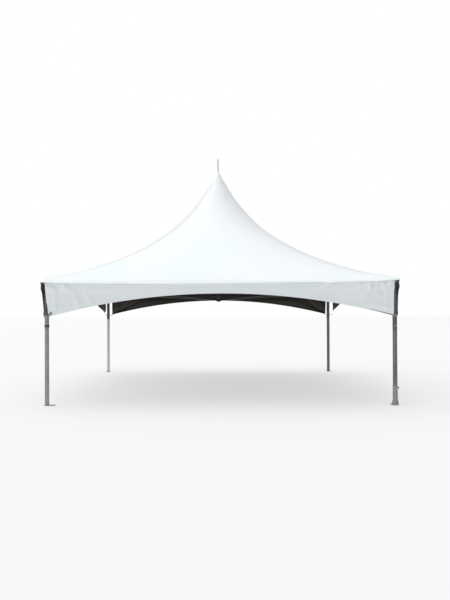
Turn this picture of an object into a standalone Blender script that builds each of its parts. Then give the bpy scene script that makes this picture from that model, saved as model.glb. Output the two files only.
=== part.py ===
"""High-peak frame tent: a four-panel fabric top with arched valances on four legs,
held up at the middle by a mast that stands on two crossed cables."""

import math

import bmesh
import bpy
from mathutils import Matrix, Vector

# Overall sizes in metres, from the 20 ft square that such tents are sold in
FABRIC_HALF = 3.075
LEG_AT = 3.010
EAVE_TOP = 2.183
PEAK_TOP = 4.778
FABRIC = 0.004
GAP = 0.0003

# The roof falls steeply by the peak and eases towards the eave
STEEP_SHARE = 0.288
STEEP_RATE = 6.0
SOFT_RATE = 0.763
ROUND_TO = 0.045
SQUARE_POWER = 0.85
PEAK_HOLE = 0.055
PANEL_ACROSS = 8
PANEL_ROWS = 13

# Valances: the lower edge is a parabola, deep at the corners
VALANCE_END = 2.975
VALANCE_MID_Z = 1.932
VALANCE_DROP = 0.393
DRAWN_IN = 0.040

# Tubes and fittings
LEG_R = 0.038
LEG_WALL = 0.003
BEAM_R = 0.0254
BEAM_WALL = 0.0032
SPIGOT_REACH = 0.150
MAST_R = 0.0254
MAST_FOOT_Z = 1.885
HUB_BOTTOM_Z = 1.846
HUB_R = 0.034
PIN_R = 0.011
PIN_TIP_Z = 5.040
COLLAR_ROWS = 2
EAR_HALF = 0.003
CABLE_R = 0.004
EYE_RING = 0.014
EYE_WIRE = 0.0035
EAR_HOLE = 0.007

# Feet
PLATE_LONG = 0.190
PLATE_WIDE = 0.110
PLATE_THICK = 0.008
PLATE_SHIFT = 0.048
STAKE_HOLE = 0.010

# Ties
STRAP_WIDE = 0.045
STRAP_THICK = 0.0024

# The beam lies 0.6 mm under the fabric that leans on its outer shoulder
EAVE_SLOPE = (PEAK_TOP - EAVE_TOP) / FABRIC_HALF * (
    STEEP_SHARE * math.exp(-STEEP_RATE) + (1.0 - STEEP_SHARE) * math.exp(-SOFT_RATE))
BEAM_Z = (EAVE_TOP - FABRIC + EAVE_SLOPE * (FABRIC_HALF - LEG_AT)
          - (BEAM_R + 0.0006) * math.sqrt(1.0 + EAVE_SLOPE ** 2))
LEG_TOP_Z = BEAM_Z - 0.060
CORNER_EAR_AT = math.sqrt(2.0) * LEG_AT - 0.085
CORNER_EAR_Z = BEAM_Z - 0.040
HUB_EAR_AT = 0.062
HUB_EAR_Z = 1.872

CORNERS = {
    "front_left": (-1, -1, 0.0),
    "front_right": (1, -1, 90.0),
    "back_right": (1, 1, 270.0),
    "back_left": (-1, 1, 270.0),
}
SIDES = {"front": 0.0, "right": 90.0, "back": 180.0, "left": 270.0}

for old in list(bpy.data.objects):
    bpy.data.objects.remove(old, do_unlink=True)


def collection(name):
    made = bpy.data.collections.new(name)
    bpy.context.scene.collection.children.link(made)
    return made


tent = collection("high_peak_frame_tent")
cutters = collection("cutters")


def material(name, colour, roughness, metallic):
    made = bpy.data.materials.new(name)
    made.use_nodes = True
    shader = made.node_tree.nodes["Principled BSDF"]
    shader.inputs["Base Color"].default_value = (*colour, 1.0)
    shader.inputs["Roughness"].default_value = roughness
    shader.inputs["Metallic"].default_value = metallic
    made.diffuse_color = (*colour, 1.0)
    return made


ROOF_VINYL = ("white_vinyl_roof", (0.93, 0.96, 0.96), 0.45, 0.0)
EDGE_VINYL = ("white_vinyl_valance", (0.80, 0.83, 0.84), 0.50, 0.0)
COLLAR_VINYL = ("white_vinyl_collar", (0.95, 0.97, 0.97), 0.45, 0.0)
MILL_ALUMINIUM = ("mill_aluminium", (0.60, 0.61, 0.61), 0.38, 1.0)
CAST_ALUMINIUM = ("cast_aluminium", (0.45, 0.46, 0.46), 0.50, 1.0)
ZINC_STEEL = ("galvanised_steel", (0.40, 0.41, 0.40), 0.50, 1.0)
WIRE_STEEL = ("wire_rope_steel", (0.55, 0.55, 0.54), 0.40, 1.0)
WEATHERED_STEEL = ("weathered_steel", (0.16, 0.16, 0.155), 0.55, 1.0)
GREY_WEBBING = ("grey_webbing", (0.25, 0.26, 0.26), 0.85, 0.0)


def finish(obj, look):
    """Gives a piece its own material and puts it with the tent's pieces."""
    obj.data.materials.clear()
    obj.data.materials.append(material(f"{look[0]}_{obj.name}", *look[1:]))
    for home in list(obj.users_collection):
        home.objects.unlink(obj)
    tent.objects.link(obj)
    return obj


def mesh_object(name, mesh_data, look):
    bmesh.ops.recalc_face_normals(mesh_data, faces=mesh_data.faces)
    mesh = bpy.data.meshes.new(name)
    mesh_data.to_mesh(mesh)
    mesh_data.free()
    return finish(bpy.data.objects.new(name, mesh), look)


def smooth(obj, degrees=35.0):
    obj.data.shade_smooth()
    obj.data.set_sharp_from_angle(angle=math.radians(degrees))
    return obj


def turned(name, outline, steps, look, place=Matrix.Identity(4)):
    """A closed outline of (radius, height) points, spun about Z."""
    bm = bmesh.new()
    ring = [bm.verts.new((radius, 0.0, height)) for radius, height in outline]
    for first, second in zip(ring, ring[1:] + ring[:1]):
        bm.edges.new((first, second))
    bmesh.ops.spin(bm, geom=bm.verts[:] + bm.edges[:], axis=(0, 0, 1), cent=(0, 0, 0),
                   dvec=(0, 0, 0), angle=2.0 * math.pi, steps=steps, use_merge=True)
    bmesh.ops.remove_doubles(bm, verts=bm.verts, dist=1e-6)
    bmesh.ops.transform(bm, matrix=place, verts=bm.verts)
    return smooth(mesh_object(name, bm, look))


def tube(name, outer, wall, length, place, look, steps=24):
    """An open pipe that starts at the origin and runs up Z before it is placed."""
    outline = [(outer, 0.0), (outer, length), (outer - wall, length), (outer - wall, 0.0)]
    return turned(name, outline, steps, look, place)


def solid_cylinder(radius, depth, place, segments=20):
    bm = bmesh.new()
    bmesh.ops.create_cone(bm, cap_ends=True, segments=segments, radius1=radius,
                          radius2=radius, depth=depth)
    bmesh.ops.transform(bm, matrix=place, verts=bm.verts)
    mesh = bpy.data.meshes.new("cylinder")
    bm.to_mesh(mesh)
    bm.free()
    return bpy.data.objects.new("cylinder", mesh)


def solid_box(size, place):
    bm = bmesh.new()
    bmesh.ops.create_cube(bm, size=1.0)
    bmesh.ops.scale(bm, vec=size, verts=bm.verts)
    bmesh.ops.transform(bm, matrix=place, verts=bm.verts)
    mesh = bpy.data.meshes.new("box")
    bm.to_mesh(mesh)
    bm.free()
    return bpy.data.objects.new("box", mesh)


def shaped(base, tools):
    """Joins or cuts a piece with each tool in turn; tools stay as hidden cutters."""
    for index, (operation, tool) in enumerate(tools):
        tool.name = f"{base.name}_{operation.lower()}_{index}"
        cutters.objects.link(tool)
        tool.hide_render = True
        tool.display_type = "WIRE"
        step = base.modifiers.new(f"step_{index}", "BOOLEAN")
        step.operation = operation
        step.solver = "EXACT"
        step.object = tool
    return base


def turn_z(degrees):
    return Matrix.Rotation(math.radians(degrees), 4, "Z")


def shift(x, y, z):
    return Matrix.Translation((x, y, z))


def along(direction, start):
    """Turns +Z to a direction and moves the origin to a start point."""
    turn = Vector((0, 0, 1)).rotation_difference(Vector(direction).normalized())
    return Matrix.Translation(start) @ turn.to_matrix().to_4x4()


def hip_height(share):
    """Height of the fabric at a share of the way from the peak to the eave."""
    fall = (STEEP_SHARE * math.exp(-STEEP_RATE * share)
            + (1.0 - STEEP_SHARE) * math.exp(-SOFT_RATE * share))
    return EAVE_TOP + (PEAK_TOP - EAVE_TOP) * (1.0 - share) * fall


def share_at(radius):
    return radius / (math.sqrt(2.0) * FABRIC_HALF)


def roof_row_radius(row):
    """Hip radius of each row of the panel, closer together by the peak."""
    far = math.sqrt(2.0) * FABRIC_HALF
    return PEAK_HOLE + (far - PEAK_HOLE) * (row / PANEL_ROWS) ** 2


def roof_point(side, share):
    """A point on the front panel. A section is a superellipse through the hips, a
    circle by the peak and a square at the eave."""
    square = max(0.0, (share - ROUND_TO) / (1.0 - ROUND_TO)) ** SQUARE_POWER
    middle = square + (1.0 - square) * math.sqrt(2.0)
    out = 1.0
    if middle > 1.0001:
        power = 1.0 / math.log2(middle)
        out = middle * (1.0 - (abs(side) / middle) ** power) ** (1.0 / power)
    shrink = FABRIC_HALF * share
    trim = 0.00025 * side
    return Vector((shrink * side - trim, -shrink * out, hip_height(share)))


def two_skins(across, rows, outer_point, inner_point):
    """A closed sheet: a grid on the outer face, one on the inner, and the rim."""
    bm = bmesh.new()
    bmesh.ops.create_grid(bm, x_segments=across, y_segments=rows, size=1.0)
    made = bmesh.ops.extrude_face_region(bm, geom=bm.faces[:])
    inner = {v for v in made["geom"] if isinstance(v, bmesh.types.BMVert)}
    for vert in bm.verts:
        side, depth = vert.co.x, (vert.co.y + 1.0) / 2.0
        vert.co = (inner_point if vert in inner else outer_point)(side, depth)
    return bm


def panel_outer(side, depth):
    radius = roof_row_radius(depth * PANEL_ROWS)
    return roof_point(side, share_at(radius))


def panel_inner(side, depth):
    return panel_outer(side, depth) - Vector((0, 0, FABRIC))


def valance_low(x):
    return VALANCE_MID_Z - VALANCE_DROP * (x / 2.99) ** 2


def valance_face(x, z):
    """How far out the valance's outer face stands; its corners are drawn in."""
    down = (EAVE_TOP - z) / (EAVE_TOP - valance_low(VALANCE_END))
    return FABRIC_HALF - DRAWN_IN * down * abs(x / VALANCE_END) ** 3


def valance_point(side, depth, inset):
    x = VALANCE_END * math.sin(side * math.pi / 2.0 * 0.9) / math.sin(math.pi / 2.0 * 0.9)
    top = EAVE_TOP - FABRIC - GAP
    z = top + (valance_low(x) - top) * depth
    return Vector((x, -(valance_face(x, z) - inset), z))


def valance_outer(side, depth):
    return valance_point(side, depth, 0.0)


def valance_inner(side, depth):
    return valance_point(side, depth, FABRIC)


def roof_panels():
    for side, degrees in SIDES.items():
        bm = two_skins(PANEL_ACROSS, PANEL_ROWS, panel_outer, panel_inner)
        bmesh.ops.transform(bm, matrix=turn_z(degrees), verts=bm.verts)
        smooth(mesh_object(f"roof_{side}", bm, ROOF_VINYL), 60.0)


def valances():
    for side, degrees in SIDES.items():
        bm = two_skins(20, 3, valance_outer, valance_inner)
        bmesh.ops.transform(bm, matrix=turn_z(degrees), verts=bm.verts)
        smooth(mesh_object(f"valance_{side}", bm, EDGE_VINYL), 60.0)


def beams():
    length = 2.0 * (LEG_AT - 0.040)
    for side, degrees in SIDES.items():
        lay = along((1, 0, 0), (-length / 2.0, -LEG_AT, BEAM_Z))
        tube(f"eave_beam_{side}", BEAM_R, BEAM_WALL, length, turn_z(degrees) @ lay,
             MILL_ALUMINIUM)


def ear_solid(reach_from, reach_to, low, high, degrees, place):
    """A flat lug in a vertical plane, with its length along +X before it is turned."""
    size = (reach_to - reach_from, 2.0 * EAR_HALF, high - low)
    middle = shift((reach_from + reach_to) / 2.0, 0.0, (low + high) / 2.0)
    return solid_box(size, place @ turn_z(degrees) @ middle)


def corner_fittings():
    """A cap over the leg, a plug inside it, two spigots in the beams and a cable lug."""
    for corner, (east, north, _) in CORNERS.items():
        at = shift(east * LEG_AT, north * LEG_AT, 0.0)
        cap_high = BEAM_Z + 0.017
        plug = LEG_R - LEG_WALL - GAP
        outline = [(0.0, LEG_TOP_Z - 0.120), (plug, LEG_TOP_Z - 0.120),
                   (plug, LEG_TOP_Z + GAP), (LEG_R, LEG_TOP_Z + GAP),
                   (LEG_R, cap_high - 0.010), (LEG_R - 0.010, cap_high), (0.0, cap_high)]
        body = turned(f"corner_fitting_{corner}", outline, 24, CAST_ALUMINIUM, at)
        tools = []
        start = Vector((east * LEG_AT, north * LEG_AT, BEAM_Z))
        for direction in ((-east, 0, 0), (0, -north, 0)):
            middle = start + Vector(direction) * (0.020 + SPIGOT_REACH / 2.0)
            tools.append(("UNION", solid_cylinder(
                BEAM_R - BEAM_WALL - GAP, SPIGOT_REACH, along(direction, middle))))
        inward = math.degrees(math.atan2(-north, -east))
        tools.append(("UNION", ear_solid(
            0.020, 0.103, CORNER_EAR_Z - 0.014, CORNER_EAR_Z + 0.014, inward, at)))
        hole = at @ turn_z(inward) @ shift(0.085, 0.0, CORNER_EAR_Z)
        hole = hole @ Matrix.Rotation(math.pi / 2.0, 4, "X")
        tools.append(("DIFFERENCE", solid_cylinder(EAR_HOLE, 0.040, hole, 12)))
        smooth(shaped(body, tools), 30.0)


def legs():
    for corner, (east, north, _) in CORNERS.items():
        low = PLATE_THICK + GAP
        place = shift(east * LEG_AT, north * LEG_AT, low)
        tube(f"leg_{corner}", LEG_R, LEG_WALL, LEG_TOP_Z - low, place, MILL_ALUMINIUM)


def base_plates():
    """A flat plate with a stub that the leg stands over, and two stake holes."""
    for corner, (east, north, degrees) in CORNERS.items():
        at = shift(east * LEG_AT, north * LEG_AT, 0.0) @ turn_z(degrees)
        bm = bmesh.new()
        bmesh.ops.create_cube(bm, size=1.0)
        bmesh.ops.scale(bm, vec=(PLATE_LONG, PLATE_WIDE, PLATE_THICK), verts=bm.verts)
        upright = [e for e in bm.edges if abs(e.verts[0].co.z - e.verts[1].co.z) > 1e-4]
        bmesh.ops.bevel(bm, geom=upright, offset=0.012, segments=3, affect="EDGES")
        middle = shift(PLATE_SHIFT, 0.0, PLATE_THICK / 2.0)
        bmesh.ops.transform(bm, matrix=at @ middle, verts=bm.verts)
        body = mesh_object(f"base_plate_{corner}", bm, ZINC_STEEL)
        stub = LEG_R - LEG_WALL - GAP
        tools = [("UNION", solid_cylinder(stub, 0.104, at @ shift(0, 0, 0.056), 24))]
        for across in (-0.030, 0.030):
            hole = at @ shift(0.115, across, 0.0)
            tools.append(("DIFFERENCE", solid_cylinder(STAKE_HOLE, 0.040, hole, 16)))
        shaped(body, tools)


def leg_sleeve():
    """The sleeve with a knob and a flared foot that shows on the front right leg."""
    inner = LEG_R + GAP
    low = PLATE_THICK + GAP
    outline = [(0.0545, low), (0.0545, 0.042), (0.0420, 0.092), (0.0420, 0.336),
               (inner, 0.336), (inner, low)]
    at = shift(LEG_AT, -LEG_AT, 0.0)
    body = turned("leg_sleeve_front_right", outline, 24, CAST_ALUMINIUM, at)
    stem = solid_cylinder(0.008, 0.022, at @ along((1, 0, 0), (0.050, 0, 0.300)), 12)
    head = solid_cylinder(0.018, 0.010, at @ along((1, 0, 0), (0.059, 0, 0.300)), 16)
    smooth(shaped(body, [("UNION", stem), ("UNION", head)]), 30.0)


def peak_radii():
    """Radii of the collar's rows over the panels, and inside their hole."""
    inside = [PIN_R + GAP, 0.020, 0.035]
    return inside + [roof_row_radius(row) for row in range(COLLAR_ROWS + 1)]


def collar():
    lift = 0.0007
    thick = 0.005
    radii = peak_radii()
    lower = [(r, hip_height(share_at(r)) + lift) for r in radii]
    upper = [(r, z + thick) for r, z in reversed(lower)]
    turned("peak_collar", lower + upper, 32, COLLAR_VINYL)


def mast():
    """The mast tube, and the head whose pin comes out through the peak."""
    shoulder = [(r, hip_height(share_at(r))) for r in (PIN_R + 0.0008, 0.020, 0.035, 0.050)]
    bottom = shoulder[-1][1] - 0.022
    spigot = MAST_R - BEAM_WALL - GAP
    outline = [(0.0, PIN_TIP_Z), (PIN_R - 0.003, PIN_TIP_Z), (PIN_R, PIN_TIP_Z - 0.006),
               (PIN_R, shoulder[0][1]), *shoulder, (0.050, bottom), (spigot, bottom),
               (spigot, bottom - 0.120), (0.0, bottom - 0.120)]
    turned("mast_head", outline[::-1], 32, ZINC_STEEL)
    tube("mast", MAST_R, BEAM_WALL, bottom - GAP - MAST_FOOT_Z - GAP,
         shift(0, 0, MAST_FOOT_Z + GAP), WEATHERED_STEEL)
    rim = MAST_FOOT_Z + 0.090
    cup = [(0.0, HUB_BOTTOM_Z), (HUB_R - 0.006, HUB_BOTTOM_Z), (HUB_R, HUB_BOTTOM_Z + 0.006),
           (HUB_R, rim), (MAST_R + GAP, rim), (MAST_R + GAP, MAST_FOOT_Z),
           (0.0, MAST_FOOT_Z)]
    hub = turned("mast_foot", cup, 24, WEATHERED_STEEL)
    tools = []
    for degrees in (45, 135, 225, 315):
        tools.append(("UNION", ear_solid(
            0.031, HUB_EAR_AT + 0.012, HUB_EAR_Z - 0.014, HUB_EAR_Z + 0.014, degrees,
            Matrix.Identity(4))))
    for degrees in (45, 135):
        for way in (-1, 1):
            hole = turn_z(degrees) @ shift(way * HUB_EAR_AT, 0.0, HUB_EAR_Z)
            hole = hole @ Matrix.Rotation(math.pi / 2.0, 4, "X")
            tools.append(("DIFFERENCE", solid_cylinder(EAR_HOLE, 0.020, hole, 12)))
    smooth(shaped(hub, tools), 30.0)


def ring_mesh(centre, pull, steps=16, sides=6):
    """A ring whose plane holds the pull direction and the level across it."""
    bm = bmesh.new()
    across = Vector((0, 0, 1)).cross(pull).normalized()
    rise = pull.cross(across).normalized()
    loops = []
    for i in range(steps):
        turn = 2.0 * math.pi * i / steps
        out = pull * math.cos(turn) + across * math.sin(turn)
        middle = centre + out * EYE_RING
        loop = []
        for j in range(sides):
            lean = 2.0 * math.pi * j / sides
            loop.append(bm.verts.new(
                middle + out * EYE_WIRE * math.cos(lean) + rise * EYE_WIRE * math.sin(lean)))
        loops.append(loop)
    for first, second in zip(loops, loops[1:] + loops[:1]):
        for j in range(sides):
            k = (j + 1) % sides
            bm.faces.new((first[j], first[k], second[k], second[j]))
    bmesh.ops.recalc_face_normals(bm, faces=bm.faces)
    mesh = bpy.data.meshes.new("ring")
    bm.to_mesh(mesh)
    bm.free()
    return bpy.data.objects.new("ring", mesh)


def twist(radians):
    return Matrix.Rotation(radians, 4, "Z")


def cables():
    """Each cable runs from a lug on the mast foot to a lug on a corner fitting. Its
    parts are twisted about it, so that no edge of one lies in a face of another."""
    for corner, (east, north, _) in CORNERS.items():
        out = Vector((east, north, 0)).normalized()
        bend = EAR_HALF ** 2 / (2.0 * EYE_RING)
        seat = EAR_HOLE * math.cos(math.pi / 12.0) - EYE_WIRE - GAP - bend
        low = out * (HUB_EAR_AT + seat) + Vector((0, 0, HUB_EAR_Z))
        high = out * (CORNER_EAR_AT - seat) + Vector((0, 0, CORNER_EAR_Z))
        pull = (high - low).normalized()
        first = low + pull * EYE_RING
        last = high - pull * EYE_RING
        start = first + pull * (EYE_RING + 0.001)
        end = last - pull * (EYE_RING + 0.001)
        length = (end - start).length
        lay = along(pull, (start + end) / 2.0) @ twist(0.20)
        wire = solid_cylinder(CABLE_R, length, lay, 8)
        wire.name = f"cross_cable_{corner}"
        finish(wire, WIRE_STEEL)
        sleeves = [("UNION", ring_mesh(first, pull)), ("UNION", ring_mesh(last, pull))]
        for way, point in ((1, start), (-1, end)):
            middle = point + pull * way * 0.024
            lay = along(pull, middle) @ twist(0.35)
            sleeves.append(("UNION", solid_cylinder(0.0065, 0.050, lay, 10)))
        smooth(shaped(wire, sleeves), 40.0)


def strap_path(east, north):
    """Points of the strap from one valance, round the leg's outer side, to the other."""
    points = []
    for x in (2.900, 2.925, 2.950, 2.972):
        z = 1.545 + 0.9 * (2.972 - x)
        face = valance_face(x, z + STRAP_WIDE / 2.0)
        points.append(((x, face + 0.0004), (x, face + 0.0004 + STRAP_THICK), z))
    inner, outer = LEG_R + 0.0005, LEG_R + 0.0005 + STRAP_THICK
    for step in range(11):
        turn = math.radians(112.0 - 134.0 * step / 10)
        pair = []
        for radius in (inner, outer):
            pair.append((LEG_AT + radius * math.cos(turn), LEG_AT + radius * math.sin(turn)))
        points.append((pair[0], pair[1], 1.542))
    for x in (2.972, 2.950, 2.925, 2.900):
        z = 1.545 + 0.9 * (2.972 - x)
        face = valance_face(x, z + STRAP_WIDE / 2.0)
        points.append(((face + 0.0004, x), (face + 0.0004 + STRAP_THICK, x), z))
    return [((east * a[0], north * a[1]), (east * b[0], north * b[1]), z)
            for a, b, z in points]


def straps():
    """A flat strap ties the two valances' lower corners round each leg."""
    for corner, (east, north, _) in CORNERS.items():
        bm = bmesh.new()
        loops = []
        for inside, outside, z in strap_path(east, north):
            low, high = z - STRAP_WIDE / 2.0, z + STRAP_WIDE / 2.0
            loops.append([bm.verts.new((*inside, low)), bm.verts.new((*outside, low)),
                          bm.verts.new((*outside, high)), bm.verts.new((*inside, high))])
        for first, second in zip(loops, loops[1:]):
            for j in range(4):
                k = (j + 1) % 4
                bm.faces.new((first[j], first[k], second[k], second[j]))
        bm.faces.new(loops[0][::-1])
        bm.faces.new(loops[-1])
        smooth(mesh_object(f"corner_strap_{corner}", bm, GREY_WEBBING))


roof_panels()
valances()
collar()
mast()
beams()
corner_fittings()
legs()
base_plates()
leg_sleeve()
cables()
straps()
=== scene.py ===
import math

import bmesh
import bpy
import numpy as np
from mathutils import Matrix, Vector


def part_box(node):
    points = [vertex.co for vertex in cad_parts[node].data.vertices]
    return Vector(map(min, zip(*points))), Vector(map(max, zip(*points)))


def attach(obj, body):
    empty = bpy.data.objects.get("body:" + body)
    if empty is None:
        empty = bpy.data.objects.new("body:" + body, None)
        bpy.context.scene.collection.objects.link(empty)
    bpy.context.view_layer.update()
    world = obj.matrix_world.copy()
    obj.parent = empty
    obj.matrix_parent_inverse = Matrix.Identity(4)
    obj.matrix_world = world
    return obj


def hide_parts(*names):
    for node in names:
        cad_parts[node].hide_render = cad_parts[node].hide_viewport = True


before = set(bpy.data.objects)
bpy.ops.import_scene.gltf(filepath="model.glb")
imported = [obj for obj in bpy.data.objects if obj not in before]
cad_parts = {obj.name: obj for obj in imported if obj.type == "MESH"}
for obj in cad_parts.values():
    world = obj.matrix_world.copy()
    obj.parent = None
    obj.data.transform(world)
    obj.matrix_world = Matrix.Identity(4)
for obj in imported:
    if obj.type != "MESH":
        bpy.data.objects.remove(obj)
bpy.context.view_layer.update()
scene = bpy.context.scene
print("frame loaded")

# The tent's main sizes in metres, the same as its frame's
tent = {
    "halfWidth": 3.075, "legAt": 3.010, "eaveTop": 2.183, "peakTop": 4.778,
    "steepShare": 0.288, "steepRate": 6.0, "softRate": 0.763,
    "roundTo": 0.045, "squarePower": 0.85,
    "valanceEnd": 2.975, "valanceMid": 1.932, "drawnIn": 0.040,
    "valanceDrop": 0.393, "archHalf": 2.990,  # the arch is that much lower, that far out
}
cornerSigns = {"front_left": (-1, -1), "front_right": (1, -1), "back_right": (1, 1),
               "back_left": (-1, 1)}
sideTurns = {"front": 0, "right": 1, "back": 2, "left": 3}
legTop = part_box("corner_fitting_front_right")[1][2] - 0.017  # under the casting's crown


def camelName(words):
    first, *rest = words.split("_")
    return first + "".join(w.capitalize() for w in rest)


# Camera, from the feet, the eave corners and the pin in the photo
viewer = {"place": (-0.0972, -13.3326, 1.600), "yaw": 0.0174, "pitch": 0.0082,
          "roll": -0.0042, "focalPixels": 596.0, "centre": (203.9, 307.9),
          "picture": (450, 600), "sensor": 36.0, "farthest": 500.0}


def makeCamera(v):
    # looks along +Y, turned by the yaw, the pitch and the roll; the shift puts the
    # picture's own centre where the photo has it
    wide, high = v["picture"]
    data = bpy.data.cameras.new("camera")
    data.sensor_fit = "HORIZONTAL"
    data.sensor_width = v["sensor"]
    data.lens = v["focalPixels"] / wide * v["sensor"]
    data.shift_x = (wide / 2 - v["centre"][0]) / wide
    data.shift_y = (v["centre"][1] - high / 2) / wide
    data.clip_end = v["farthest"]
    camera = bpy.data.objects.new("camera", data)
    turn = Matrix.Translation(v["place"])
    for angle, axis in ((v["yaw"], "Z"), (math.pi / 2 + v["pitch"], "X"), (v["roll"], "Z")):
        turn = turn @ Matrix.Rotation(angle, 4, axis)
    camera.matrix_world = turn
    scene.collection.objects.link(camera)
    scene.camera = camera


makeCamera(viewer)
print("camera placed")


# Materials
def fromHex(text):
    # the three parts of a screen colour, each made linear
    parts = [int(text[i:i + 2], 16) / 255 for i in (1, 3, 5)]
    line = [p / 12.92 if p <= 0.04045 else ((p + 0.055) / 1.055) ** 2.4 for p in parts]
    return (*line, 1.0)


def addNode(tree, kind, settings=None, links=None, ramp=()):
    # settings go to the node or its sockets, links lead to its sockets, and a ramp has its
    # colours at a quarter and three quarters; it gives the node's outputs
    node = tree.nodes.new("ShaderNode" + kind)
    for key, value in (settings or {}).items():
        if isinstance(key, str) and hasattr(node, key):
            setattr(node, key, value)
        else:
            node.inputs[key].default_value = value
    for key, source in (links or {}).items():
        tree.links.new(source, node.inputs[key])
    for i, colour in enumerate(ramp):
        node.color_ramp.elements[i].color = fromHex(colour)
        node.color_ramp.elements[i].position = 0.25 + 0.5 * i
    return node.outputs


def startMaterial(name, shown):
    made = bpy.data.materials.new(name)
    made.use_nodes = True
    made.node_tree.nodes.clear()
    made.diffuse_color = fromHex(shown)
    return made.node_tree


def finishMaterial(name, tree, settings, links):
    shader = addNode(tree, "BsdfPrincipled", settings, links)
    addNode(tree, "OutputMaterial", None, {"Surface": shader["BSDF"]})
    return bpy.data.materials[name]


def coatedVinyl(name, look, **changes):
    # PVC-coated polyester, calendered smooth: a soft sheen, a faint print of the scrim
    # threads and a broad unevenness from being folded and hung
    look = dict(look, **changes)
    tree = startMaterial(name, look["light"])
    spot = addNode(tree, "TexCoord")
    broad = addNode(tree, "TexNoise", {"Scale": look["broadScale"], "Detail": 3.0,
                                       "Roughness": 0.55}, {"Vector": spot["Object"]})
    colour = addNode(tree, "ValToRGB", None, {"Fac": broad["Fac"]},
                     [look["dark"], look["light"]])
    # scrim threads are 1.3 mm apart, drawn 10 mm apart because they would not show
    threads = [addNode(tree, "TexWave", {"bands_direction": way, "Scale": look["threads"],
                                         "Distortion": 0.4}, {"Vector": spot["UV"]})
               for way in "XY"]
    weave = addNode(tree, "Math", {"operation": "ADD"},
                    {0: threads[0]["Fac"], 1: threads[1]["Fac"]})
    creases = addNode(tree, "TexNoise", {"Scale": look["creaseScale"], "Detail": 4.0,
                                         "Roughness": 0.5, "Distortion": 0.6},
                      {"Vector": spot["Object"]})
    fine = addNode(tree, "Bump", {"Strength": look["weaveBump"], "Distance": 0.0006},
                   {"Height": weave["Value"]})
    soft = addNode(tree, "Bump", {"Strength": look["creaseBump"], "Distance": 0.01},
                   {"Height": creases["Fac"], "Normal": fine["Normal"]})
    rough = addNode(tree, "MapRange", {"To Min": look["smooth"], "To Max": look["rough"]},
                    {"Value": creases["Fac"]})
    return finishMaterial(name, tree, {"IOR": 1.52}, {
        "Base Color": colour["Color"], "Roughness": rough["Result"],
        "Normal": soft["Normal"]})


def drawnMetal(name, look, **changes):
    # extruded and cast metal: fine lines along the tube, cloudy oxide, small scuffs
    look = dict(look, **changes)
    tree = startMaterial(name, look["light"])
    spot = addNode(tree, "TexCoord")["Object"]
    cloud = addNode(tree, "TexNoise", {"Scale": look["cloudScale"], "Detail": 5.0,
                                       "Roughness": 0.6}, {"Vector": spot})
    colour = addNode(tree, "ValToRGB", None, {"Fac": cloud["Fac"]},
                     [look["dark"], look["light"]])
    stretch = addNode(tree, "Mapping", {"Scale": look["stretch"]}, {"Vector": spot})
    lines = addNode(tree, "TexNoise", {"Scale": look["lineScale"], "Detail": 2.0},
                    {"Vector": stretch["Vector"]})
    both = addNode(tree, "Math", {"operation": "ADD"}, {0: lines["Fac"], 1: cloud["Fac"]})
    rough = addNode(tree, "MapRange", {"From Max": 2.0, "To Min": look["smooth"],
                                       "To Max": look["rough"]}, {"Value": both["Value"]})
    bump = addNode(tree, "Bump", {"Strength": look["bump"], "Distance": 0.001},
                   {"Height": lines["Fac"]})
    return finishMaterial(name, tree, {"Metallic": 1.0}, {
        "Base Color": colour["Color"], "Roughness": rough["Result"],
        "Normal": bump["Normal"]})


def wovenWebbing(name, look, **changes):
    # flat polyester webbing: ribs across the band, drawn 4 mm apart where real ones are 1.5
    look = dict(look, **changes)
    tree = startMaterial(name, look["light"])
    spot = addNode(tree, "TexCoord")
    ribs = addNode(tree, "TexWave", {"bands_direction": "X", "Scale": look["ribs"],
                                     "Distortion": 0.3}, {"Vector": spot["UV"]})
    dirt = addNode(tree, "TexNoise", {"Scale": 14.0, "Detail": 4.0},
                   {"Vector": spot["Object"]})
    colour = addNode(tree, "ValToRGB", None, {"Fac": dirt["Fac"]},
                     [look["dark"], look["light"]])
    bump = addNode(tree, "Bump", {"Strength": 0.5, "Distance": 0.0008},
                   {"Height": ribs["Fac"]})
    return finishMaterial(name, tree, {"Roughness": 0.85, "IOR": 1.5},
                          {"Base Color": colour["Color"], "Normal": bump["Normal"]})


def studioFloor(name, look):
    # matt white acrylic lit a little from below, which keeps the tent's shadow soft
    tree = startMaterial(name, look["paint"])
    return finishMaterial(name, tree, {"Base Color": fromHex(look["paint"]),
                                       "Roughness": 0.9, "IOR": 1.49,
                                       "Emission Color": fromHex(look["glow"]),
                                       "Emission Strength": look["strength"]}, {})


vinylLook = {"light": "#fbfbfd", "dark": "#f3fbfa", "broadScale": 0.9, "threads": 16.0,
             "creaseScale": 2.2, "weaveBump": 0.10, "creaseBump": 0.12,
             "smooth": 0.34, "rough": 0.50}
tubeLook = {"light": "#a6a8a9", "dark": "#838587", "cloudScale": 7.0,
            "stretch": (60.0, 60.0, 1.2), "lineScale": 3.0, "bump": 0.06,
            "smooth": 0.16, "rough": 0.30}
roughTubeLook = dict(tubeLook, smooth=0.22, rough=0.38)
castLook = {"light": "#a9aaa7", "dark": "#8b8c8a", "cloudScale": 30.0,
            "stretch": (1.0, 1.0, 1.0), "lineScale": 160.0, "bump": 0.35,
            "smooth": 0.42, "rough": 0.62}
webbingLook = {"light": "#9c9e9f", "dark": "#7e8082", "ribs": 40.0}
floorLook = {"paint": "#9a9a9a", "glow": "#ffffff", "strength": 0.58}

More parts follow.
